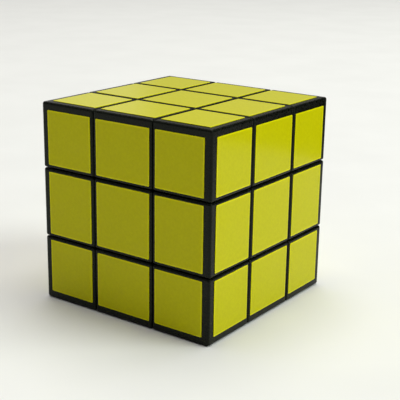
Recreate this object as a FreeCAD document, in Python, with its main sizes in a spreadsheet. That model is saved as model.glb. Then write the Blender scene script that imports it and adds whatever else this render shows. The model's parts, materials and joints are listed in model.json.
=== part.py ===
import FreeCAD, Part
import math
import os

import Sketcher

# A turning cube puzzle of three layers each way.  It is drawn about the middle of the cube, with
# +Z up, -Y to the front and +X to the right.  Each kind of piece is made once, in the place where
# it meets the +Z face, and copied by turning it about the middle.  The last placement lifts the
# whole cube, so that the origin lies below the middle, on the surface that the cube stands on.

SIZES = [
    # name, millimetres, what it is
    ("half_size", 28.5, "middle of the cube to an outer plastic face"),
    ("cut", 10.0, "middle of the cube to the seam between two layers"),
    ("seam", 0.09, "each cubie stands back this far from the seam"),
    ("rounding", 0.6, "rounding of every cubie edge"),
    ("wall", 1.7, "wall of a hollow shell"),
    ("ball_outside", 22.1, "ball cut out of the shells, for the feet to turn under"),
    ("foot_outside", 21.85, "outer ball face of the feet"),
    ("foot_inside", 18.1, "inner ball face of the feet"),
    ("foot_cut", 7.0, "middle of the cube to the seam between two feet"),
    ("foot_gap", 0.1, "each foot stands back this far from that seam"),
    ("stem_radius", 2.6, "round stem that ties a foot to its shell"),
    ("stem_end", 25.6, "middle of the cube to the end of a stem"),
    ("stem_fit", 0.03, "radial clearance of a stem in its shell"),
    ("arm_radius", 4.6, "arm of the core"),
    ("arm_end", 18.0, "middle of the cube to the end of an arm"),
    ("hub_half", 6.5, "half the side of the core's hub"),
    ("hub_rounding", 1.2, "rounding of the hub's edges"),
    ("screw_radius", 1.5, "shank of the tension screw"),
    ("screw_tip", 9.2, "middle of the cube to the tip of the screw"),
    ("head_under", 23.2, "middle of the cube to the underside of the screw's head"),
    ("head_height", 2.0, "height of the screw's head"),
    ("head_radius", 2.9, "radius of the screw's head"),
    ("recess_width", 0.8, "width of the cross recess"),
    ("recess_length", 3.4, "length of the cross recess"),
    ("recess_depth", 1.3, "depth of the cross recess"),
    ("thread_fit", 0.02, "radial clearance of the screw in the core"),
    ("pivot_fit", 0.1, "radial clearance of the screw in the centre piece"),
    ("well_radius", 4.2, "well for the spring and the screw's head"),
    ("well_floor", 19.3, "middle of the cube to the floor of the well"),
    ("washer_height", 0.4, "thickness of the washer"),
    ("washer_radius", 3.8, "outer radius of the washer"),
    ("wire_radius", 0.25, "wire of the spring"),
    ("coil_radius", 2.45, "middle of the wire to the spring's axis"),
    ("coil_turns", 3.5, "turns of the spring"),
    ("coil_play", 0.025, "clearance at each end of the spring"),
    ("cap_height", 2.8, "thickness of the centre cap"),
    ("plug_radius", 4.15, "outer radius of the cap's plug"),
    ("plug_wall", 0.65, "wall of the cap's plug"),
    ("plug_depth", 1.3, "length of the cap's plug"),
    ("tile_thickness", 0.15, "thickness of a sticker"),
    ("tile_seam_edge", 11.0, "middle of the cube to a sticker's edge beyond the seam"),
    ("tile_outer_edge", 26.35, "middle of the cube to a sticker's outermost edge"),
    ("tile_centre_half", 9.0, "half the side of a centre sticker"),
    ("tile_corner", 0.25, "rounding of a sticker's corners"),
]

doc = FreeCAD.newDocument("TurningCube")
sheet = doc.addObject("Spreadsheet::Sheet", "Sizes")
for row, (alias, value, meaning) in enumerate(SIZES, start=1):
    sheet.set(f"A{row}", meaning)
    sheet.set(f"B{row}", str(value))
    sheet.setAlias(f"B{row}", alias)
doc.recompute()
SIZE_OF = {alias: value for alias, value, meaning in SIZES}


def formula(text):
    """Write each size's name in an expression as a cell of the sheet."""
    words = text.replace("(", " ( ").replace(")", " ) ").split()
    return " ".join(f"Sizes.{word}" if word in SIZE_OF else word for word in words)


def bind(feature, **properties):
    """Tie properties of a feature to expressions in the sheet's sizes."""
    for name, text in properties.items():
        feature.setExpression(name.replace("__", "."), formula(text))
    return feature


# ---------------------------------------------------------------- sketches and PartDesign helpers


def new_body(name):
    return doc.addObject("PartDesign::Body", name)


def new_sketch(body, name, plane="XY_Plane", height=None):
    """A sketch on one of the body's own planes, moved along its normal by an expression."""
    sketch = body.newObject("Sketcher::SketchObject", name)
    base = next(item for item in body.Origin.OriginFeatures if item.Role == plane)
    sketch.AttachmentSupport = [(base, "")]
    sketch.MapMode = "FlatFace"
    if height:
        sketch.setExpression("AttachmentOffset.Base.z", formula(height))
    return sketch


def constrain(sketch, kind, *where, size=None):
    """Add a constraint, and tie its value to the sheet where it has one."""
    if size is None:
        return sketch.addConstraint(Sketcher.Constraint(kind, *where))
    index = sketch.addConstraint(Sketcher.Constraint(kind, *where, 1.0))
    sketch.setExpression(f"Constraints[{index}]", formula(size))
    return index


def vector(x, y, z=0.0):
    return FreeCAD.Vector(x, y, z)


def add_line(sketch, start, end):
    return sketch.addGeometry(Part.LineSegment(vector(*start), vector(*end)), False)


def draw_rectangle(sketch, low_x, high_x, low_y, high_y):
    """A rectangle whose four sides lie at distances from the axes given by expressions."""
    low, high = 1.0, 2.0
    corners = [(low, low), (high, low), (high, high), (low, high)]
    sides = [add_line(sketch, corners[n], corners[(n + 1) % 4]) for n in range(4)]
    for n in range(4):
        constrain(sketch, "Coincident", sides[n], 2, sides[(n + 1) % 4], 1)
        constrain(sketch, "Vertical" if n % 2 else "Horizontal", sides[n])
    constrain(sketch, "DistanceX", -1, 1, sides[0], 1, size=low_x)
    constrain(sketch, "DistanceX", -1, 1, sides[1], 1, size=high_x)
    constrain(sketch, "DistanceY", -1, 1, sides[0], 1, size=low_y)
    constrain(sketch, "DistanceY", -1, 1, sides[2], 1, size=high_y)


def draw_square(sketch, half_side):
    draw_rectangle(sketch, f"-1 * ( {half_side} )", half_side, f"-1 * ( {half_side} )", half_side)


def draw_circle(sketch, radius):
    circle = sketch.addGeometry(Part.Circle(vector(0, 0), vector(0, 0, 1), 1.0), False)
    constrain(sketch, "Coincident", circle, 3, -1, 1)
    constrain(sketch, "Radius", circle, size=radius)


def pad(body, name, sketch, length, symmetric=False):
    feature = body.newObject("PartDesign::Pad", name)
    feature.Profile = sketch
    if symmetric:
        feature.SideType = "Symmetric"
    return bind(feature, Length=length)


def cut_back(body, name, sketch, depth):
    """A pocket that cuts from its sketch towards the middle of the cube."""
    feature = body.newObject("PartDesign::Pocket", name)
    feature.Profile = sketch
    return bind(feature, Length=depth)


def round_edges(body, name, base, radius, chosen):
    """Round those edges of a feature that a test picks."""
    doc.recompute()
    feature = body.newObject("PartDesign::Fillet", name)
    edges = [f"Edge{n}" for n, edge in enumerate(base.Shape.Edges, start=1) if chosen(edge)]
    feature.Base = (base, edges)
    return bind(feature, Radius=radius)


def is_along(edge, axis):
    """True for a straight edge parallel to an axis."""
    along = edge.valueAt(edge.LastParameter) - edge.valueAt(edge.FirstParameter)
    return along.Length > 0 and abs(abs(along.normalize().dot(axis)) - 1) < 1e-6


def lies_at(edge, height):
    """True for an edge that lies all at one height."""
    box = edge.BoundBox
    return abs(box.ZMin - height) < 1e-6 and abs(box.ZMax - height) < 1e-6


UP = vector(0, 0, 1)


# ---------------------------------------------------------------- the kinds of piece, made once


def core_spider():
    """A rounded hub with six round arms, each drilled for a screw."""
    body = new_body("core")
    hub = new_sketch(body, "hub_outline")
    draw_square(hub, "hub_half")
    block = pad(body, "hub", hub, "2 * hub_half", symmetric=True)
    round_edges(body, "hub_rounded", block, "hub_rounding", lambda edge: True)
    for plane, axis in (("XY_Plane", "z"), ("XZ_Plane", "y"), ("YZ_Plane", "x")):
        outline = new_sketch(body, f"arms_{axis}_outline", plane)
        draw_circle(outline, "arm_radius")
        pad(body, f"arms_{axis}", outline, "2 * arm_end", symmetric=True)
    for plane, axis in (("XY_Plane", "z"), ("XZ_Plane", "y"), ("YZ_Plane", "x")):
        for side in ("+", "-"):
            label = f"screw_hole_{axis}_{'plus' if side == '+' else 'minus'}"
            sketch = new_sketch(body, f"{label}_outline", plane, f"{side}1 * arm_end")
            draw_circle(sketch, "screw_radius + thread_fit")
            hole = cut_back(body, label, sketch, "arm_end - screw_tip + screw_radius")
            hole.Reversed = side == "-"
    return body


def tension_screw():
    """A pan head screw with a cross recess, standing on its axis."""
    body = new_body("screw")
    shank = new_sketch(body, "shank_outline", height="screw_tip")
    draw_circle(shank, "screw_radius")
    pad(body, "shank", shank, "head_under - screw_tip")
    head = new_sketch(body, "head_outline", height="head_under")
    draw_circle(head, "head_radius")
    disc = pad(body, "head", head, "head_height")
    top = SIZE_OF["head_under"] + SIZE_OF["head_height"]
    round_edges(body, "head_rounded", disc, "head_height / 3", lambda edge: lies_at(edge, top))
    half_length = "recess_length / 2"
    half_width = "recess_width / 2"
    for name, wide, deep in (("a", half_length, half_width), ("b", half_width, half_length)):
        slot = new_sketch(body, f"recess_{name}_outline", height="head_under + head_height")
        draw_rectangle(slot, f"-1 * {wide}", wide, f"-1 * {deep}", deep)
        cut_back(body, f"recess_{name}", slot, "recess_depth")
    return body


def spring():
    """A round wire wound round the screw, between the washer and the screw's head."""
    body = new_body("spring")
    wire = new_sketch(body, "wire_outline", "XZ_Plane")
    circle = wire.addGeometry(Part.Circle(vector(2, 2), vector(0, 0, 1), 0.5), False)
    constrain(wire, "Radius", circle, size="wire_radius")
    constrain(wire, "DistanceX", -1, 1, circle, 3, size="coil_radius")
    low = "well_floor + washer_height + wire_radius + coil_play"
    constrain(wire, "DistanceY", -1, 1, circle, 3, size=low)
    coil = body.newObject("PartDesign::AdditiveHelix", "coil")
    coil.Profile = wire
    coil.ReferenceAxis = (wire, ["V_Axis"])
    coil.Mode = "height-turns-angle"
    bind(
        coil,
        Height="head_under - well_floor - washer_height - 2 * ( wire_radius + coil_play )",
        Turns="coil_turns",
    )
    return body


def washer():
    body = new_body("washer")
    outline = new_sketch(body, "washer_outline", height="well_floor")
    draw_circle(outline, "washer_radius")
    draw_circle(outline, "screw_radius + pivot_fit")
    pad(body, "ring", outline, "washer_height")
    return body


def ball_groove(body, name, radius):
    """Cut a whole ball about the middle of the cube out of a body."""
    sketch = new_sketch(body, f"{name}_outline", "XZ_Plane")
    quarter = math.pi / 2
    circle = Part.Circle(vector(0, 0), vector(0, 0, 1), 10.0)
    arc = sketch.addGeometry(Part.ArcOfCircle(circle, -quarter, quarter), False)
    axis = add_line(sketch, (0, 10), (0, -10))
    constrain(sketch, "Coincident", arc, 3, -1, 1)
    constrain(sketch, "Coincident", arc, 2, axis, 1)
    constrain(sketch, "Coincident", arc, 1, axis, 2)
    constrain(sketch, "PointOnObject", axis, 1, -2)
    constrain(sketch, "PointOnObject", axis, 2, -2)
    constrain(sketch, "Radius", arc, size=radius)
    feature = body.newObject("PartDesign::Groove", name)
    feature.Profile = sketch
    feature.ReferenceAxis = (sketch, ["V_Axis"])
    feature.Angle = 360.0
    return feature


def centre_body():
    """A square block on a smaller column, with a well for the spring and the screw."""
    body = new_body("centre")
    outline = new_sketch(body, "block_outline", height="cut + seam")
    draw_square(outline, "cut - seam")
    block = pad(body, "block", outline, "half_size - cap_height - cut - seam")
    round_edges(body, "block_rounded", block, "rounding", lambda edge: is_along(edge, UP))
    ball_groove(body, "ball_cut", "ball_outside")
    foot = new_sketch(body, "column_outline", height="arm_end + foot_gap")
    draw_square(foot, "foot_cut - foot_gap")
    pad(body, "column", foot, "half_size - cap_height - arm_end - foot_gap")
    well = new_sketch(body, "well_outline", height="half_size - cap_height")
    draw_circle(well, "well_radius")
    cut_back(body, "well", well, "half_size - cap_height - well_floor")
    bore = new_sketch(body, "bore_outline", height="well_floor")
    draw_circle(bore, "screw_radius + pivot_fit")
    cut_back(body, "bore", bore, "well_floor - arm_end")
    return body


def centre_cap():
    """A square cap with rounded edges and a ring that plugs into the well."""
    body = new_body("cap")
    outline = new_sketch(body, "cap_outline", height="half_size - cap_height")
    draw_square(outline, "cut - seam")
    plate = pad(body, "plate", outline, "cap_height")
    top = SIZE_OF["half_size"]
    round_edges(
        body,
        "plate_rounded",
        plate,
        "rounding",
        lambda edge: is_along(edge, UP) or lies_at(edge, top),
    )
    ring = new_sketch(body, "plug_outline", height="half_size - cap_height - plug_depth")
    draw_circle(ring, "plug_radius")
    draw_circle(ring, "plug_radius - plug_wall")
    pad(body, "plug", ring, "plug_depth")
    return body


def sticker(name, low_x, high_x, low_y, high_y):
    """A thin sheet on the +Z face."""
    body = new_body(name)
    outline = new_sketch(body, f"{name}_outline", height="half_size")
    draw_rectangle(outline, low_x, high_x, low_y, high_y)
    sheet_of_vinyl = pad(body, f"{name}_sheet", outline, "tile_thickness")
    round_edges(
        body,
        f"{name}_rounded",
        sheet_of_vinyl,
        "tile_corner",
        lambda edge: is_along(edge, UP),
    )
    return body


# ---------------------------------------------------------------- Part primitives and booleans


def block_between(name, low, high):
    """A Part::Box between two corners, given as three expressions each."""
    box = doc.addObject("Part::Box", name)
    sides = dict(zip(("Length", "Width", "Height"), zip(low, high)))
    for axis, (side, (near, far)) in zip("xyz", sides.items()):
        box.setExpression(f"Placement.Base.{axis}", formula(near))
        box.setExpression(side, formula(f"( {far} ) - ( {near} )"))
    return box


def ball(name, radius):
    return bind(doc.addObject("Part::Sphere", name), Radius=radius)


def rod(name, radius, length, direction):
    """A round rod from the middle of the cube along a direction."""
    piece = bind(doc.addObject("Part::Cylinder", name), Radius=radius, Height=length)
    piece.Placement = FreeCAD.Placement(vector(0, 0), FreeCAD.Rotation(UP, vector(*direction)))
    return piece


def boolean(kind, name, base, tool):
    feature = doc.addObject(f"Part::{kind}", name)
    feature.Base = base
    feature.Tool = tool
    return feature


def hollow_shell(name, low, high, low_inside, high_inside, stem_direction):
    """A rounded box, cut back to the ball, hollow, and drilled for the stem of its foot."""
    box = block_between(f"{name}_box", low, high)
    doc.recompute()
    rounded = doc.addObject("Part::Fillet", f"{name}_rounded")
    rounded.Base = box
    radius = SIZE_OF["rounding"]
    rounded.Edges = [(n, radius, radius) for n in range(1, len(box.Shape.Edges) + 1)]
    cut_box = boolean("Cut", f"{name}_cut", rounded, ball(f"{name}_ball", "ball_outside"))
    inside = block_between(f"{name}_inside_box", low_inside, high_inside)
    inner_ball = ball(f"{name}_inner_ball", "ball_outside + wall")
    hollow = boolean("Cut", f"{name}_hollow", inside, inner_ball)
    walls = boolean("Cut", f"{name}_walls", cut_box, hollow)
    hole = rod(f"{name}_hole", "stem_radius + stem_fit", "stem_end", stem_direction)
    return boolean("Cut", name, walls, hole)


def foot(name, low, high, stem_direction):
    """A piece of a thick ball shell that hooks under its neighbours, with a stem."""
    shell = boolean(
        "Cut",
        f"{name}_shell",
        ball(f"{name}_outer_ball", "foot_outside"),
        ball(f"{name}_inner_ball", "foot_inside"),
    )
    hook = boolean("Common", f"{name}_hook", shell, block_between(f"{name}_box", low, high))
    long_rod = rod(f"{name}_rod", "stem_radius", "stem_end", stem_direction)
    core_of_rod = ball(f"{name}_rod_start", "( foot_inside + foot_outside ) / 2")
    stem = boolean("Cut", f"{name}_stem", long_rod, core_of_rod)
    return boolean("Fuse", name, hook, stem)


NEAR = "cut + seam"
FAR = "half_size"
NEAR_INSIDE = "cut + seam + wall"
FAR_INSIDE = "half_size - wall"
ACROSS = "cut - seam"
ACROSS_INSIDE = "cut - seam - wall"
FOOT_NEAR = "foot_cut + foot_gap"
FOOT_ACROSS = "foot_cut - foot_gap"

CORNER_WAY = (1, 1, 1)
EDGE_WAY = (0, 1, 1)


def corner_shell():
    return hollow_shell(
        "corner",
        (NEAR,) * 3,
        (FAR,) * 3,
        (NEAR_INSIDE,) * 3,
        (FAR_INSIDE,) * 3,
        CORNER_WAY,
    )


def edge_shell():
    return hollow_shell(
        "edge",
        (f"-1 * ( {ACROSS} )", NEAR, NEAR),
        (ACROSS, FAR, FAR),
        (f"-1 * ( {ACROSS_INSIDE} )", NEAR_INSIDE, NEAR_INSIDE),
        (ACROSS_INSIDE, FAR_INSIDE, FAR_INSIDE),
        EDGE_WAY,
    )


def corner_foot():
    return foot("corner_foot", (FOOT_NEAR,) * 3, (FAR,) * 3, CORNER_WAY)


def edge_foot():
    low = (f"-1 * ( {FOOT_ACROSS} )", FOOT_NEAR, FOOT_NEAR)
    return foot("edge_foot", low, (FOOT_ACROSS, FAR, FAR), EDGE_WAY)


# ---------------------------------------------------------------- where each copy goes

TURN = {
    "x": FreeCAD.Rotation(vector(1, 0), 90),
    "y": FreeCAD.Rotation(vector(0, 1), 90),
    "z": FreeCAD.Rotation(UP, 90),
}


def turned(**quarter_turns):
    """A rotation made of quarter turns, the first named turned first."""
    rotation = FreeCAD.Rotation()
    for axis, count in quarter_turns.items():
        for _ in range(count % 4):
            rotation = TURN[axis] * rotation
    return rotation


# the way from the middle to each face, as turns of a piece made on the +Z face
FACES = {
    "top": turned(),
    "bottom": turned(x=2),
    "front": turned(x=1),
    "back": turned(x=3),
    "right": turned(y=1),
    "left": turned(y=3),
}

# edges and corners, as turns of one made at +Y +Z and one made at +X +Y +Z
AROUND = ("back", "left", "front", "right")
EDGES = {"top": {}, "middle": {}, "bottom": {}}
CORNERS = {"top": {}, "bottom": {}}
for count, side in enumerate(AROUND):
    after = AROUND[(count + 1) % 4]
    before = AROUND[count - 1]
    EDGES["top"][f"top_{side}"] = turned(z=count)
    EDGES["bottom"][f"bottom_{side}"] = turned(y=2, z=count)
    EDGES["middle"][f"{side}_{after}"] = turned(y=3, z=count)
    CORNERS["top"][f"top_{before}_{side}"] = turned(z=count)
    CORNERS["bottom"][f"bottom_{side}_{after}"] = turned(y=2, z=count)

# the lowest stickers lie on the surface that the cube stands on
LIFT = "half_size + tile_thickness"
SUB_PARTS = []


def sub_part(label, *pieces):
    """One named node: copies of a kind of piece, each turned about the middle of the cube."""
    copies = []
    for number, (kind, rotation) in enumerate(pieces, start=1):
        copy = doc.addObject("Part::Compound", f"{label}_copy_{number}")
        copy.Links = [kind]
        copy.Placement = FreeCAD.Placement(vector(0, 0), rotation)
        copies.append(copy)
    node = doc.addObject("Part::Compound", label)
    node.Label = label
    node.Links = copies
    node.setExpression("Placement.Base.z", formula(LIFT))
    SUB_PARTS.append(node)


# ---------------------------------------------------------------- the assembly

core = core_spider()
screw = tension_screw()
coil_spring = spring()
flat_washer = washer()
centre = centre_body()
cap = centre_cap()
corner = corner_shell()
edge = edge_shell()
hook_of_corner = corner_foot()
hook_of_edge = edge_foot()

SEAM_EDGE = "tile_seam_edge"
OUTER_EDGE = "tile_outer_edge"
HALF = "tile_centre_half"
centre_tile = sticker("centre_tile", f"-1 * {HALF}", HALF, f"-1 * {HALF}", HALF)
edge_tile = sticker("edge_tile", f"-1 * {HALF}", HALF, SEAM_EDGE, OUTER_EDGE)
corner_tile = sticker("corner_tile", SEAM_EDGE, OUTER_EDGE, SEAM_EDGE, OUTER_EDGE)

sub_part("core_spider", (core, FACES["top"]))
sub_part("tension_screws", *[(screw, rotation) for rotation in FACES.values()])
for side, rotation in FACES.items():
    sub_part(f"spring_{side}", (coil_spring, rotation))
    sub_part(f"washer_{side}", (flat_washer, rotation))
    sub_part(f"centre_body_{side}", (centre, rotation))
    sub_part(f"centre_cap_{side}", (cap, rotation))

for layer, places in EDGES.items():
    for place, rotation in places.items():
        sub_part(f"edge_shell_{place}", (edge, rotation))
    sub_part(f"{layer}_edge_feet", *[(hook_of_edge, rotation) for rotation in places.values()])
for layer, places in CORNERS.items():
    for place, rotation in places.items():
        sub_part(f"corner_shell_{place}", (corner, rotation))
    feet = [(hook_of_corner, rotation) for rotation in places.values()]
    sub_part(f"{layer}_corner_feet", *feet)

# a sticker for every outward face of every cubie: an edge has two and a corner has three
THIRD_OF_TURN = FreeCAD.Rotation(vector(*CORNER_WAY), 120)
HALF_TURN_ON_EDGE = FreeCAD.Rotation(vector(*EDGE_WAY), 180)
for layer in CORNERS:
    face = [(centre_tile, FACES[layer])]
    face += [(edge_tile, rotation) for rotation in EDGES[layer].values()]
    face += [(corner_tile, rotation) for rotation in CORNERS[layer].values()]
    sub_part(f"{layer}_face_stickers", *face)
    sides = [(edge_tile, rotation * HALF_TURN_ON_EDGE) for rotation in EDGES[layer].values()]
    for rotation in CORNERS[layer].values():
        sides.append((corner_tile, rotation * THIRD_OF_TURN))
        sides.append((corner_tile, rotation * THIRD_OF_TURN * THIRD_OF_TURN))
    sub_part(f"{layer}_side_stickers", *sides)
middle = []
for rotation in EDGES["middle"].values():
    middle.append((edge_tile, rotation))
    middle.append((edge_tile, rotation * HALF_TURN_ON_EDGE))
sub_part("middle_edge_stickers", *middle)
for side in AROUND:
    sub_part(f"sticker_{side}", (centre_tile, FACES[side]))

# ---------------------------------------------------------------- checks, and writing the solids

doc.recompute()
for item in doc.Objects:
    if "Invalid" in item.State or "Error" in item.State:
        raise RuntimeError(f"{item.Label} failed: {item.State}")
os.makedirs("parts", exist_ok=True)
for node in SUB_PARTS:
    shape = node.Shape
    if shape.isNull() or not shape.isValid() or len(shape.Solids) != len(node.Links):
        raise RuntimeError(f"{node.Label} has no sound shape")
for node in SUB_PARTS:
    node.Shape.exportStep(f"parts/{node.Label}.step")
print(f"{len(SUB_PARTS)} nodes, {sum(len(node.Links) for node in SUB_PARTS)} solids")
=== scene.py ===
import json
import math
import random

import bmesh
import bpy
from mathutils import Matrix, Vector


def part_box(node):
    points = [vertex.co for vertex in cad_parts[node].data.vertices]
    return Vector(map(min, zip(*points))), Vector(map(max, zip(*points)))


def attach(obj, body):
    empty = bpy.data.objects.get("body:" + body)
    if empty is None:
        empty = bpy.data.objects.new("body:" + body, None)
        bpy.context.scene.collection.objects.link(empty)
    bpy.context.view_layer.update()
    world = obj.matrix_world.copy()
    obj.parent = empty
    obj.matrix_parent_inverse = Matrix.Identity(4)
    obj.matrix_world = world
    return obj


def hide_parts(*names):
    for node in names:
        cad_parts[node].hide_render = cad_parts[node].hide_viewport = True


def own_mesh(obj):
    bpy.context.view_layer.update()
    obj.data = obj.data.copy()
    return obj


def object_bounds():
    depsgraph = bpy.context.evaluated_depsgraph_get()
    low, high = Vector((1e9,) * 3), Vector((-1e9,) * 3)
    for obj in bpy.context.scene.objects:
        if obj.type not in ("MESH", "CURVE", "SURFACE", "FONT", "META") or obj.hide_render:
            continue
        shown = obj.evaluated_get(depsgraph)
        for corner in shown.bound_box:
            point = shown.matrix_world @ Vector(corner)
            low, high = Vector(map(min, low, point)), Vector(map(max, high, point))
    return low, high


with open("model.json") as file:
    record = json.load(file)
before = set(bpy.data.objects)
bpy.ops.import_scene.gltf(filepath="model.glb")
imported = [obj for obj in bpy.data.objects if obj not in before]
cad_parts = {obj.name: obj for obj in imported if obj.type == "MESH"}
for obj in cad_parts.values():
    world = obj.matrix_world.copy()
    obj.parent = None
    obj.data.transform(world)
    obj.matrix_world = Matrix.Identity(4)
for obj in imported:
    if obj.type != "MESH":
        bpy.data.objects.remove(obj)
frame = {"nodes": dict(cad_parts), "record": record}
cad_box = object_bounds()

# A turning cube puzzle.  The frame's solids carry the black plastic and everything inside.  The
# stickers and the springs are built here: each sticker is a sheet of its own, laid by hand, and
# each spring is a wound wire.

MM = 0.001

low, high = (Vector(corner) for corner in cad_box)
MIDDLE = (low + high) / 2
FACE_WAYS = {
    "top": Vector((0, 0, 1)),
    "bottom": Vector((0, 0, -1)),
    "front": Vector((0, -1, 0)),
    "back": Vector((0, 1, 0)),
    "right": Vector((1, 0, 0)),
    "left": Vector((-1, 0, 0)),
}


# ------------------------------------------------------------------------------- camera and stage

CAMERA_FROM_MIDDLE = Vector((159.6, -215.85, 79.3)) * MM
AIM_FROM_MIDDLE = Vector((3.5, 1.7, -0.7)) * MM
CAMERA_ROLL = math.radians(0.9)
FOCAL_LENGTH = 87.5
SENSOR_WIDTH = 36.0
NEAREST, FARTHEST = 0.01, 50.0
FLOOR_HALF = 4.0

# each soft box: its name, offset from the cube's middle, size, watts and colour
LIGHTS = [
    ("key_from_right", (1.5, 0.6, 1.2), (1.1, 1.1), 22.5, (0.93, 1.0, 0.93)),
    ("overhead", (-0.1, 0.4, 2.0), (1.8, 1.8), 39.0, (1.0, 0.985, 0.955)),
]

# the black card's two ends and its distance behind, from the cube's middle, and its height
FLAG_BOX = (0.05, 0.60, 0.165, 0.40)


def add_camera():
    """A long lens in front of the cube, to its right and a little above it."""
    camera = bpy.data.objects.new("camera", bpy.data.cameras.new("camera"))
    camera.data.lens = FOCAL_LENGTH
    camera.data.sensor_width = SENSOR_WIDTH
    camera.data.clip_start, camera.data.clip_end = NEAREST, FARTHEST
    camera.location = MIDDLE + CAMERA_FROM_MIDDLE
    view = AIM_FROM_MIDDLE - CAMERA_FROM_MIDDLE
    turn = view.to_track_quat("-Z", "Y").to_matrix()
    roll = Matrix.Rotation(CAMERA_ROLL, 3, "Z")
    camera.rotation_euler = (turn @ roll).to_euler()
    bpy.context.scene.collection.objects.link(camera)
    bpy.context.scene.camera = camera


def add_area_light(name, offset, size, watts, colour):
    """A soft box at an offset from the cube's middle, facing it."""
    data = bpy.data.lights.new(name, "AREA")
    data.shape = "RECTANGLE"
    data.size, data.size_y = size
    data.energy = watts
    data.color = colour
    light = bpy.data.objects.new(name, data)
    light.location = MIDDLE + Vector(offset)
    light.rotation_euler = (-Vector(offset)).to_track_quat("-Z", "Y").to_euler()
    bpy.context.scene.collection.objects.link(light)


def add_floor():
    """A pale plane that the cube stands on."""
    mesh = bpy.data.meshes.new("floor")
    corners = [(-1, -1), (1, -1), (1, 1), (-1, 1)]
    points = [(x * FLOOR_HALF, y * FLOOR_HALF, low.z) for x, y in corners]
    mesh.from_pydata(points, [], [(0, 1, 2, 3)])
    floor = bpy.data.objects.new("floor", mesh)
    bpy.context.scene.collection.objects.link(floor)
    floor.data.materials.append(paper())


# The studio's walls are dim, with three paler patches: a wide soft one behind on the left, a small
# one with a sharp edge farther to the left, and one overhead, left and in front.  Each has a way to
# its middle, the cosines at its outer and inner edge, and a strength.
WALL_COLOUR = (1.0, 0.98, 0.95)
WALL_DIM = 0.03
WALL_PATCHES = [
    ((-0.66, 0.74, 0.17), (0.60, 0.90), 0.25),
    ((-0.90, 0.42, 0.17), (0.893, 0.912), 0.26),
    ((-0.57, -0.28, 0.77), (0.85, 0.95), 0.40),
]


def set_world():
    """Walls whose glow is the sum of a dim base and the paler patches."""
    world = bpy.data.worlds.new("studio")
    world.use_nodes = True
    tree = world.node_tree
    where = tree.nodes.new("ShaderNodeTexCoord").outputs["Generated"]
    base = tree.nodes.new("ShaderNodeValue")
    base.outputs[0].default_value = WALL_DIM
    total = base.outputs[0]
    for way, edges, strength in WALL_PATCHES:
        facing = tree.nodes.new("ShaderNodeVectorMath")
        facing.operation = "DOT_PRODUCT"
        facing.inputs[1].default_value = Vector(way).normalized()
        tree.links.new(where, facing.inputs[0])
        glow = tree.nodes.new("ShaderNodeMapRange")
        glow.interpolation_type = "SMOOTHSTEP"
        glow.inputs["From Min"].default_value, glow.inputs["From Max"].default_value = edges
        glow.inputs["To Max"].default_value = strength
        tree.links.new(facing.outputs["Value"], glow.inputs["Value"])
        both = tree.nodes.new("ShaderNodeMath")
        tree.links.new(total, both.inputs[0])
        tree.links.new(glow.outputs["Result"], both.inputs[1])
        total = both.outputs[0]
    background = tree.nodes["Background"]
    background.inputs["Color"].default_value = (*WALL_COLOUR, 1.0)
    tree.links.new(total, background.inputs["Strength"])
    bpy.context.scene.world = world


def add_flag():
    """A black card behind the cube on the right, which only reflections see."""
    left, right, back, top = FLAG_BOX
    mesh = bpy.data.meshes.new("flag")
    points = [(left, 0), (right, 0), (right, top), (left, top)]
    points = [(MIDDLE.x + x, MIDDLE.y + back, low.z + z) for x, z in points]
    mesh.from_pydata(points, [], [(0, 1, 2, 3)])
    flag = bpy.data.objects.new("flag", mesh)
    bpy.context.scene.collection.objects.link(flag)
    shader = Shader("black_card")
    flag.data.materials.append(
        shader.finish(Base_Color=(0.004, 0.004, 0.004, 1.0), Roughness=1.0, Specular_IOR_Level=0.0)
    )
    flag.visible_camera = False
    flag.visible_diffuse = False
    flag.visible_shadow = False


# ------------------------------------------------------------------------------- materials

# a painted highlight: a sticker's colour at its cut edge, as a share of its colour inside, and the
# mesh's name for that edge band
RIM_HIGHLIGHT_GAIN = 1.38
RIM_HIGHLIGHT_NAME = "rim_highlight"

# between these values lies most of a noise
NOISE_MIDDLE = (0.3, 0.7)


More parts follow.
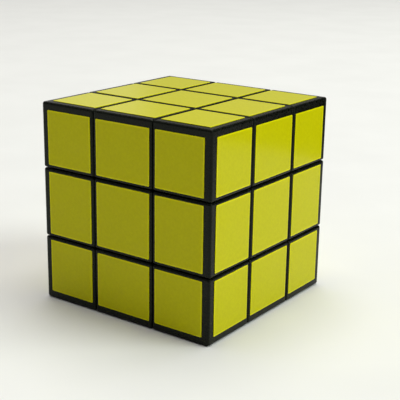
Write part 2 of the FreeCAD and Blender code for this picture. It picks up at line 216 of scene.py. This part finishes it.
class Shader:
    """A material's node tree, built a node at a time."""

    def __init__(self, name):
        self.material = bpy.data.materials.new(name)
        self.material.use_nodes = True
        self.tree = self.material.node_tree
        self.principled = self.tree.nodes["Principled BSDF"]

    def node(self, kind, links=None, **settings):
        """A new node; links names its inputs, each with a socket to link or a value to set."""
        made = self.tree.nodes.new(kind)
        for key, value in settings.items():
            setattr(made, key, value)
        for name, source in (links or {}).items():
            if hasattr(source, "is_output"):
                self.tree.links.new(source, made.inputs[name])
            else:
                made.inputs[name].default_value = source
        return made

    def millimetres(self):
        """The object's own coordinates, in millimetres."""
        where = self.node("ShaderNodeTexCoord")
        scaled = self.node("ShaderNodeMapping", {"Vector": where.outputs["Object"]})
        scaled.inputs["Scale"].default_value = (1 / MM, 1 / MM, 1 / MM)
        return scaled.outputs["Vector"]

    def noise(self, where, size, detail=2.0, roughness=0.5):
        """A noise whose features are about size millimetres across."""
        return self.node(
            "ShaderNodeTexNoise",
            {"Vector": where, "Scale": 1 / size, "Detail": detail, "Roughness": roughness},
        ).outputs["Fac"]

    def ramp(self, source, low_colour, high_colour, start=0.35, end=0.65):
        """A blend between two colours as the source goes from start to end."""
        made = self.node("ShaderNodeValToRGB", {"Fac": source})
        first, last = made.color_ramp.elements
        first.position, last.position = start, end
        first.color, last.color = (*low_colour, 1.0), (*high_colour, 1.0)
        return made.outputs["Color"]

    def spread(self, source, low_value, high_value):
        """Map a noise's middle range onto a range of values."""
        links = {"Value": source, "To Min": low_value, "To Max": high_value}
        links["From Min"], links["From Max"] = NOISE_MIDDLE
        return self.node("ShaderNodeMapRange", links).outputs["Result"]

    def bump(self, height, strength, distance, below=None):
        """A relief with a height in millimetres, laid over another one if that is given."""
        links = {"Height": height, "Strength": strength, "Distance": distance * MM}
        if below is not None:
            links["Normal"] = below
        return self.node("ShaderNodeBump", links).outputs["Normal"]

    def finish(self, **inputs):
        """Link or set the surface's inputs, and hand over the material."""
        for name, source in inputs.items():
            socket = self.principled.inputs[name.replace("_", " ")]
            if hasattr(source, "is_output"):
                self.tree.links.new(source, socket)
            else:
                socket.default_value = source
        return self.material


def paper():
    """Matt pale floor."""
    shader = Shader("pale_floor")
    where = shader.millimetres()
    colour = shader.ramp(shader.noise(where, 40.0), (0.80, 0.80, 0.79), (0.82, 0.82, 0.81))
    return shader.finish(Base_Color=colour, Roughness=0.9, Specular_IOR_Level=0.1)


def black_plastic():
    """Moulded black plastic: a satin skin with a fine spark-eroded grain and faint rub marks."""
    shader = Shader("black_plastic")
    where = shader.millimetres()
    broad = shader.noise(where, 6.0, 3.0)
    grain = shader.noise(where, 0.45, 3.0, 0.75)
    fine = shader.noise(where, 0.12, 1.0)
    worn = shader.ramp(broad, (0.0008, 0.0016, 0.0004), (0.0022, 0.0034, 0.0014))
    pale = shader.ramp(grain, (0.0, 0.0, 0.0), (0.0080, 0.0085, 0.0070), 0.45, 0.75)
    colour = shader.node("ShaderNodeVectorMath", {0: worn, 1: pale}).outputs["Vector"]
    normal = shader.bump(grain, 0.6, 0.05)
    normal = shader.bump(fine, 0.3, 0.01, normal)
    return shader.finish(
        Base_Color=colour,
        Roughness=shader.spread(grain, 0.22, 0.36),
        Normal=normal,
        Specular_IOR_Level=0.16,
        Specular_Tint=(0.92, 1.0, 0.86, 1.0),
    )


def yellow_vinyl():
    """Glossy vinyl: yellow with a faint mottle and a painted highlight along its rim, a shallow
    orange peel and a grain.
    """
    shader = Shader("yellow_vinyl")
    where = shader.millimetres()
    mottle = shader.noise(where, 0.8, 3.0, 0.7)
    peel = shader.noise(where, 0.9, 2.0)
    fine = shader.noise(where, 0.12, 2.0, 0.6)
    even = shader.ramp(mottle, (0.592, 0.564, 0.0003), (0.638, 0.609, 0.0009))
    # each sticker's edge band is painted lighter, a painted highlight standing in for light caught on
    # the edge
    rim_highlight = shader.node("ShaderNodeAttribute", attribute_name=RIM_HIGHLIGHT_NAME).outputs["Fac"]
    painted_highlight = shader.ramp(rim_highlight, (1.0, 1.0, 1.0), (RIM_HIGHLIGHT_GAIN, RIM_HIGHLIGHT_GAIN, RIM_HIGHLIGHT_GAIN), 0.0, 1.0)
    colour = shader.node("ShaderNodeVectorMath", {0: even, 1: painted_highlight}, operation="MULTIPLY")
    colour = colour.outputs["Vector"]
    normal = shader.bump(peel, 0.24, 0.014)
    normal = shader.bump(fine, 0.15, 0.004, normal)
    return shader.finish(
        Base_Color=colour,
        Roughness=shader.spread(fine, 0.10, 0.16),
        Normal=normal,
        Specular_IOR_Level=0.10,
    )


def inner_plastic():
    """Smooth self-lubricating plastic of the feet."""
    shader = Shader("inner_plastic")
    where = shader.millimetres()
    colour = shader.ramp(shader.noise(where, 3.0), (0.012, 0.012, 0.012), (0.02, 0.02, 0.019))
    normal = shader.bump(shader.noise(where, 0.3), 0.2, 0.01)
    return shader.finish(Base_Color=colour, Roughness=0.38, Normal=normal)


def core_plastic():
    """Natural white plastic of the core, with faint flow marks."""
    shader = Shader("core_plastic")
    where = shader.millimetres()
    flow = shader.noise(where, 4.0, 3.0, 0.65)
    colour = shader.ramp(flow, (0.62, 0.60, 0.54), (0.72, 0.70, 0.64))
    normal = shader.bump(shader.noise(where, 0.25), 0.2, 0.01)
    return shader.finish(Base_Color=colour, Roughness=shader.spread(flow, 0.4, 0.5), Normal=normal)


def steel(name, dark, light, size):
    """Bare steel with marks of a given size, between a dark and a light grey."""
    shader = Shader(name)
    where = shader.millimetres()
    marks = shader.noise(where, size, 3.0, 0.7)
    colour = shader.ramp(marks, dark, light)
    normal = shader.bump(marks, 0.25, 0.01)
    return shader.finish(
        Base_Color=colour,
        Metallic=1.0,
        Roughness=shader.spread(marks, 0.25, 0.4),
        Normal=normal,
    )


MATERIALS = {
    "black_plastic": black_plastic(),
    "yellow_vinyl": yellow_vinyl(),
    "inner_plastic": inner_plastic(),
    "core_plastic": core_plastic(),
    "screw_steel": steel("screw_steel", (0.50, 0.50, 0.49), (0.66, 0.66, 0.64), 0.4),
    "spring_steel": steel("spring_steel", (0.36, 0.36, 0.37), (0.55, 0.55, 0.56), 0.25),
}


def dress_frame():
    """Give every solid of the frame its material, by the slot that the record names."""
    for part in frame["record"]["subparts"]:
        node = frame["nodes"][part["node"]]
        node.data.materials.clear()
        node.data.materials.append(MATERIALS[part["material_slot"]])


# ------------------------------------------------------------------------------- stickers


STICKER_CORNER = 0.25 * MM
STICKER_EDGE = 0.05 * MM
EDGE_ROLL = 0.3 * STICKER_EDGE
# width of the edge band that is painted lighter as a highlight
STICKER_RIM = 0.5 * MM
RIM_CORNER = 0.04 * MM
CORNER_STEPS = 5
PLACING_SHIFT = 0.07 * MM
PLACING_TURN = math.radians(0.25)
PLACING_SEED = 57


def rounded_outline(width, depth, radius):
    """The outline of a rectangle with rounded corners, as points about its middle."""
    points = []
    for corner in range(4):
        turn = corner * math.pi / 2
        side_x = 1 if corner in (0, 3) else -1
        side_y = 1 if corner in (0, 1) else -1
        for step in range(CORNER_STEPS + 1):
            angle = turn + step / CORNER_STEPS * math.pi / 2
            x = side_x * (width / 2 - radius) + radius * math.cos(angle)
            y = side_y * (depth / 2 - radius) + radius * math.sin(angle)
            points.append((x, y))
    return points


def sticker_mesh(name, width, depth, thickness):
    """A closed sheet with a cut edge, a finely rolled upper edge and a rim marked for a painted
    highlight.
    """
    rings = [
        (0.0, 0.0),
        (0.0, thickness - STICKER_EDGE),
        (EDGE_ROLL, thickness - EDGE_ROLL),
        (STICKER_EDGE, thickness),
        (STICKER_RIM, thickness),
    ]
    form = bmesh.new()
    loops = []
    for inset, height in rings:
        radius = max(STICKER_CORNER - inset, RIM_CORNER)
        outline = rounded_outline(width - 2 * inset, depth - 2 * inset, radius)
        loops.append([form.verts.new((x, y, height)) for x, y in outline])
    count = len(loops[0])
    for below, above in zip(loops, loops[1:]):
        for n in range(count):
            after = (n + 1) % count
            form.faces.new((below[n], below[after], above[after], above[n]))
    form.faces.new(list(reversed(loops[0])))
    form.faces.new(loops[-1])
    mesh = bpy.data.meshes.new(name)
    form.to_mesh(mesh)
    form.free()
    # vertices of the edge band get 1 for the painted highlight, the inner ones 0
    rim_highlight = mesh.attributes.new(RIM_HIGHLIGHT_NAME, "FLOAT", "POINT")
    for vertex in mesh.vertices:
        inside = vertex.index >= count * (len(rings) - 1)
        rim_highlight.data[vertex.index].value = 0.0 if inside else 1.0
    return mesh


def face_axes(out):
    """Two directions along a face, with the way out of it as the third."""
    along = Vector((1, 0, 0)) if abs(out.x) < 0.5 else Vector((0, 1, 0))
    across = out.cross(along)
    return along, across


def add_sticker(name, centre, out, sizes, body, node, placing):
    """Lay a sticker of a width, depth and thickness on a face, a little off true."""
    along, across = face_axes(out)
    mesh = sticker_mesh(name, *sizes)
    mesh.materials.append(MATERIALS["yellow_vinyl"])
    piece = bpy.data.objects.new(name, mesh)
    bpy.context.scene.collection.objects.link(piece)
    shift = along * placing.uniform(-1, 1) + across * placing.uniform(-1, 1)
    axes = Matrix((along, across, out)).transposed()
    turn = Matrix.Rotation(placing.uniform(-1, 1) * PLACING_TURN, 3, "Z")
    place = (axes @ turn).to_4x4()
    place.translation = centre + shift * PLACING_SHIFT
    piece.matrix_world = place
    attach(piece, body)
    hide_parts(node)


def sticker_row():
    """Where the stickers of one row lie: (middle, width) for the low, middle and high one."""
    centre_low, centre_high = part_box("sticker_front")
    face_low, face_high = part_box("top_face_stickers")
    side_low, side_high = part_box("top_side_stickers")
    middle_width = centre_high.x - centre_low.x
    end_width = side_high.z - side_low.z
    end_middle = face_high.x - end_width / 2
    return [(-end_middle, end_width), (0.0, middle_width), (end_middle, end_width)]


def sticker_owner(way, cell):
    """The body and the CAD node of the sticker at a cell of a face."""
    if way in ("top", "bottom"):
        return f"{way}_layer", f"{way}_face_stickers"
    layer = cell[2]
    if layer:
        name = "top" if layer > 0 else "bottom"
        return f"{name}_layer", f"{name}_side_stickers"
    if sum(abs(step) for step in cell) == 1:
        return f"{way}_centre", f"sticker_{way}"
    return "root", "middle_edge_stickers"


def add_stickers():
    """Nine stickers on each of the six faces."""
    row = sticker_row()
    centre_low, centre_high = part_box("sticker_front")
    thickness = centre_high.y - centre_low.y
    reach = MIDDLE.y - centre_high.y
    placing = random.Random(PLACING_SEED)
    for way, out in FACE_WAYS.items():
        along, across = face_axes(out)
        for column, (aside, width) in enumerate(row):
            for line, (ahead, depth) in enumerate(row):
                cell = along * (column - 1) + across * (line - 1) + out
                body, node = sticker_owner(way, [round(step) for step in cell])
                spot = along * aside + across * ahead
                centre = MIDDLE + out * reach + spot
                name = f"sticker_{way}_{column + 1}{line + 1}"
                add_sticker(name, centre, out, (width, depth, thickness), body, node, placing)


# ------------------------------------------------------------------------------- springs

COIL_TURNS = 3.5
COIL_STEPS = 28
WIRE_RADIUS = 0.25 * MM
COIL_RADIUS = 2.45 * MM
WIRE_SIDES = 10


def spring_mesh(name, start, end, out):
    """A wound wire between two heights along a way out of the cube's middle."""
    along, across = face_axes(out)
    form = bmesh.new()
    total = int(COIL_TURNS * COIL_STEPS)
    rings = []
    rise = end - start - 2 * WIRE_RADIUS
    for step in range(total + 1):
        share = step / total
        angle = share * COIL_TURNS * 2 * math.pi
        radial = along * math.cos(angle) + across * math.sin(angle)
        centre = MIDDLE + radial * COIL_RADIUS + out * (start + WIRE_RADIUS + share * rise)
        ring = []
        for side in range(WIRE_SIDES):
            around = side / WIRE_SIDES * 2 * math.pi
            offset = radial * math.cos(around) + out * math.sin(around)
            ring.append(form.verts.new(centre + offset * WIRE_RADIUS))
        rings.append(ring)
    for below, above in zip(rings, rings[1:]):
        for side in range(WIRE_SIDES):
            after = (side + 1) % WIRE_SIDES
            form.faces.new((below[side], below[after], above[after], above[side]))
    form.faces.new(list(reversed(rings[0])))
    form.faces.new(rings[-1])
    bmesh.ops.recalc_face_normals(form, faces=form.faces)
    mesh = bpy.data.meshes.new(name)
    form.to_mesh(mesh)
    form.free()
    for face in mesh.polygons:
        face.use_smooth = len(face.vertices) == 4
    return mesh


def add_springs():
    """Wind each spring between its washer and the screw's head."""
    for way, out in FACE_WAYS.items():
        low_washer, high_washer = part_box(f"washer_{way}")
        washer_ends = [(corner - MIDDLE).dot(out) for corner in (low_washer, high_washer)]
        start = max(washer_ends)
        spring_low, spring_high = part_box(f"spring_{way}")
        end = max((corner - MIDDLE).dot(out) for corner in (spring_low, spring_high))
        name = f"wound_spring_{way}"
        piece = bpy.data.objects.new(name, spring_mesh(name, start, end, out))
        piece.data.materials.append(MATERIALS["spring_steel"])
        bpy.context.scene.collection.objects.link(piece)
        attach(piece, "root")
        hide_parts(f"spring_{way}")
        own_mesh(piece)


# ------------------------------------------------------------------------------- the scene

dress_frame()
add_stickers()
add_springs()

add_camera()
add_floor()
add_flag()
set_world()
for light in LIGHTS:
    add_area_light(*light)
bpy.context.scene.view_settings.view_transform = "Standard"
